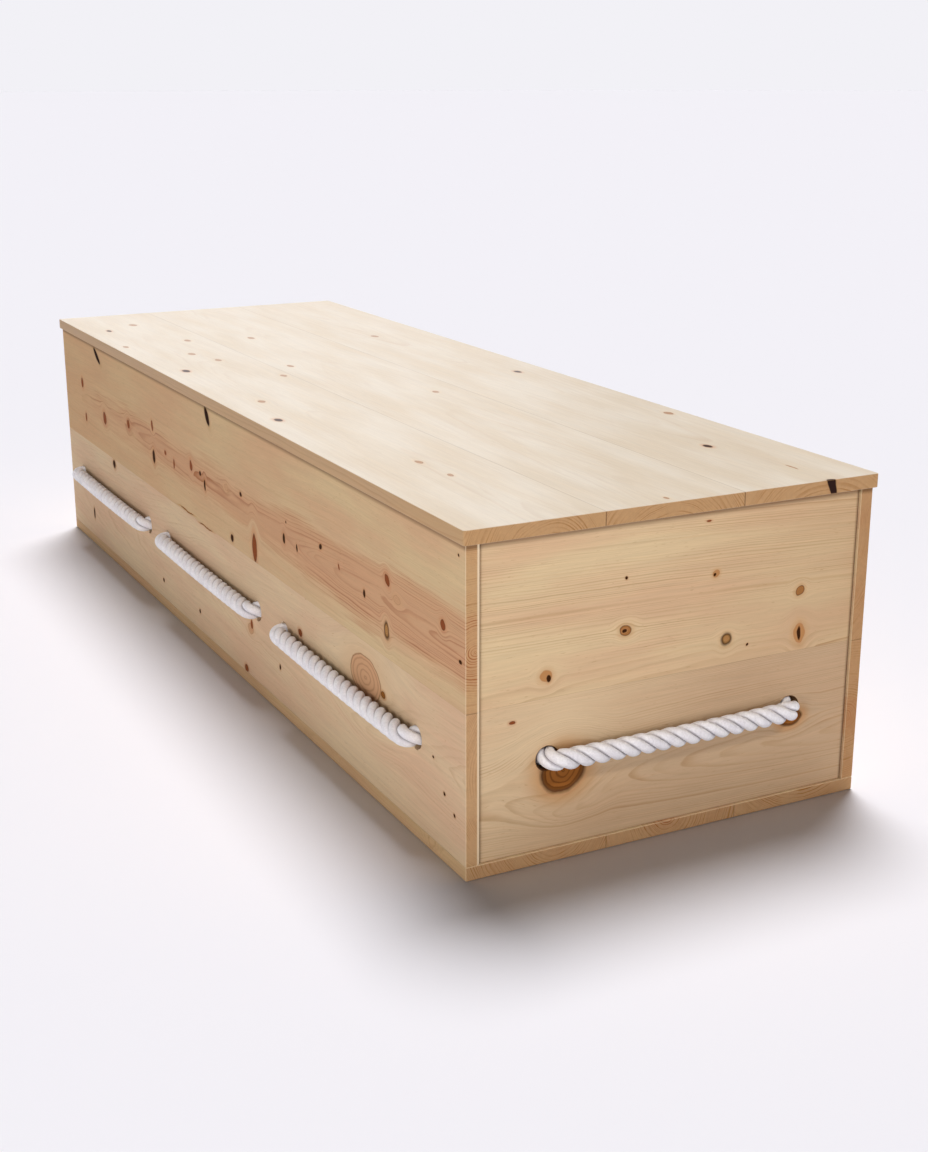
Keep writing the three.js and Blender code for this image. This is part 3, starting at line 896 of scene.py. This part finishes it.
def gluedBoard(board, holes=()):
    node = board["node"]
    low, high = (corner * 1000 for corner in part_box(node))
    order = ["XYZ".index(axis) for axis in board["axes"]]
    size = [high[axis] - low[axis] for axis in order]
    middle = [(high[axis] + low[axis]) / 2 for axis in order]
    board["face"] = high[order[2]] if board["outward"] > 0 else -low[order[2]]
    board["middle"] = middle[:2]
    board["half"] = [size[0] / 2, size[1] / 2]
    board["thickness"] = size[2]
    seams = [seam - middle[1] for seam in board["seams"]]
    rings = [(size[0] / 2 - back, across, through) for back, across, through in endRings(board["corner"])]
    rings = [(-along, across, through) for along, across, through in reversed(rings)] + rings
    mesh = bpy.data.meshes.new(node)
    shell = bmesh.new()
    rows = []
    for along, inAcross, inThrough in rings:
        row = []
        for across, through in boardRing(size[1], size[2], seams, inAcross, inThrough):
            spot = Vector((0, 0, 0))
            for axis, value in zip(order, (along + middle[0], across + middle[1], through + middle[2])):
                spot[axis] = value
            row.append(shell.verts.new(spot / 1000))
        rows.append(row)
    outline = boardRing(size[1], size[2], seams, 0, 0)
    around = len(outline)
    for row, following in zip(rows, rows[1:]):
        for at in range(around):
            beside = (at + 1) % around
            face = shell.faces.new((row[at], row[beside], following[beside], following[at]))
            face.material_index = sum((outline[at][0] + outline[beside][0]) / 2 > seam for seam in seams)
    bounds = [-math.inf] + seams + [math.inf]
    for row in (rows[0], rows[-1]):
        for plank, (start, stop) in enumerate(zip(bounds, bounds[1:])):
            within = [vertex for vertex, (across, _) in zip(row, outline) if start <= across <= stop]
            face = shell.faces.new(within)
            face.material_index = plank
    bmesh.ops.recalc_face_normals(shell, faces=shell.faces)
    shell.to_mesh(mesh)
    shell.free()
    piece = bpy.data.objects.new(node + "_planks", mesh)
    scene.collection.objects.link(piece)
    for plank in board["planks"]:
        mesh.materials.append(planedPineMaterial(plank["name"], board, plank))
    if holes:
        axis = Vector([1 if at == order[2] else 0 for at in range(3)])
        spots = []
        for along in holes:
            spot = Vector((0, 0, 0))
            for at, value in zip(order, (along, ropeHandle["holeHeight"], middle[2])):
                spot[at] = value
            spots.append(spot)
        drill = holeDrill("drill", spots, axis, size[2])
        scene.collection.objects.link(drill)
        cut = piece.modifiers.new("holes", "BOOLEAN")
        cut.object = drill
        cut.operation = "DIFFERENCE"
        cut.solver = "EXACT"
        bpy.context.view_layer.update()
        drilled = bpy.data.meshes.new_from_object(piece.evaluated_get(bpy.context.evaluated_depsgraph_get()))
        piece.modifiers.clear()
        piece.data = drilled
        bpy.data.objects.remove(drill)
    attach(piece, "root")
    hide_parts(node)


sideReach = ropeHandle["sideSpan"] / 2
sideHoles = [centre + side * sideReach for centre in handleCentres.values() for side in (-1, 1)]
endHoles = [side * ropeHandle["endSpan"] / 2 for side in (-1, 1)]
for board, holes in (
        (bottomBoard, ()), (sideRight, sideHoles), (sideLeft, sideHoles),
        (endFoot, endHoles), (endHead, endHoles), (lidBoard, ())):
    gluedBoard(board, holes)
print("six pine boards made")


# Studio: a pale floor, soft lamps, and a white surround that is darker overhead.
studio = {
    "floor": "#f4f3f6",
    "floorSize": 60,        # metres
    "floorSides": 96,
    "floorDrop": 0.0004,    # metres under the board, so that the two never share a plane
    "surround": "#f2f1f6",
    "surroundLow": 1.0,
    "surroundHigh": 0.08,
    "surroundFade": (0.12, 0.27),     # sine of the heights where it starts and ends to darken
}
lamps = {
    "behind": {"azimuth": 240, "elevation": 66, "strength": 3.06, "angle": 26, "colour": "#fdfcff"},
    "window": {"azimuth": 254, "elevation": 8, "strength": 0.3, "angle": 30, "colour": "#fdfcff"},
    "front": {"azimuth": 112, "elevation": 48, "strength": 0.75, "angle": 6, "colour": "#fff8ee"},
    "low": {"azimuth": 70, "elevation": 9, "strength": 0.12, "angle": 50, "colour": "#fffdfa"},
    "rope": {"azimuth": 50, "elevation": 42, "strength": 0.95, "angle": 10, "colour": "#fff4e9"},
}
fillLamps = ["front", "low", "soft panel"]     # these light the coffin and not the floor
softPanel = {
    "place": (2200, -2300, 420),
    "azimuth": 43,
    "elevation": 4,
    "across": 900,
    "power": 14.5,
    "colour": "#fffaf2",
}


def paleFloor():
    mesh = bpy.data.meshes.new("floor")
    disc = bmesh.new()
    bmesh.ops.create_circle(
        disc, cap_ends=True, segments=studio["floorSides"], radius=studio["floorSize"])
    disc.to_mesh(mesh)
    disc.free()
    floor = bpy.data.objects.new("floor", mesh)
    floor.location.z = -studio["floorDrop"]
    scene.collection.objects.link(floor)
    material, tree = newMaterial("matt studio paper")
    paper = addNode(
        tree, "ShaderNodeBsdfPrincipled", linear(studio["floor"]), 0.0, 0.95, 1.45,
        **{"Specular IOR Level": 0.0})
    addNode(tree, "ShaderNodeOutputMaterial", paper)
    mesh.materials.append(material)
    return floor


def studioLight():
    world = bpy.data.worlds.new("studio")
    scene.world = world
    world.use_nodes = True
    tree = world.node_tree
    tree.nodes.clear()
    where = addNode(tree, "ShaderNodeTexCoord")
    height = addNode(tree, "ShaderNodeSeparateXYZ", where.outputs["Generated"])
    strength = addNode(
        tree, "ShaderNodeMapRange", height.outputs["Z"], *studio["surroundFade"],
        studio["surroundLow"], studio["surroundHigh"], interpolation_type="SMOOTHSTEP")
    background = addNode(tree, "ShaderNodeBackground", linear(studio["surround"]), strength)
    addNode(tree, "ShaderNodeOutputWorld", background)
    for name, lamp in lamps.items():
        sun = bpy.data.lights.new(name, "SUN")
        sun.energy = lamp["strength"]
        sun.angle = math.radians(lamp["angle"])
        sun.color = linear(lamp["colour"])[:3]
        light = bpy.data.objects.new(name, sun)
        light.matrix_world = facing(lamp["azimuth"], lamp["elevation"])
        scene.collection.objects.link(light)
    panel = bpy.data.lights.new("soft panel", "AREA")
    panel.shape = "DISK"
    panel.size = softPanel["across"] / 1000
    panel.energy = softPanel["power"]
    panel.color = linear(softPanel["colour"])[:3]
    light = bpy.data.objects.new("soft panel", panel)
    light.matrix_world = Matrix.Translation(Vector(softPanel["place"]) / 1000) @ facing(
        softPanel["azimuth"], softPanel["elevation"])
    scene.collection.objects.link(light)


# The shadow on the paper keeps its depth, because the fill lamps leave the floor out. The rope
# lamp lights the ropes alone, which come out grey beside the wood without it.
def shareLamps(floor):
    leftOut = bpy.data.collections.new("not lit by the fill lamps")
    leftOut.objects.link(floor)
    leftOut.collection_objects[0].light_linking.link_state = "EXCLUDE"
    for name in fillLamps:
        bpy.data.objects[name].light_linking.receiver_collection = leftOut
    ropes = bpy.data.collections.new("lit by the rope lamp")
    for piece in scene.objects:
        if piece.name.startswith(("handle_", "knot_")):
            ropes.objects.link(piece)
    bpy.data.objects["rope"].light_linking.receiver_collection = ropes


floor = paleFloor()
studioLight()
shareLamps(floor)
print("studio set")
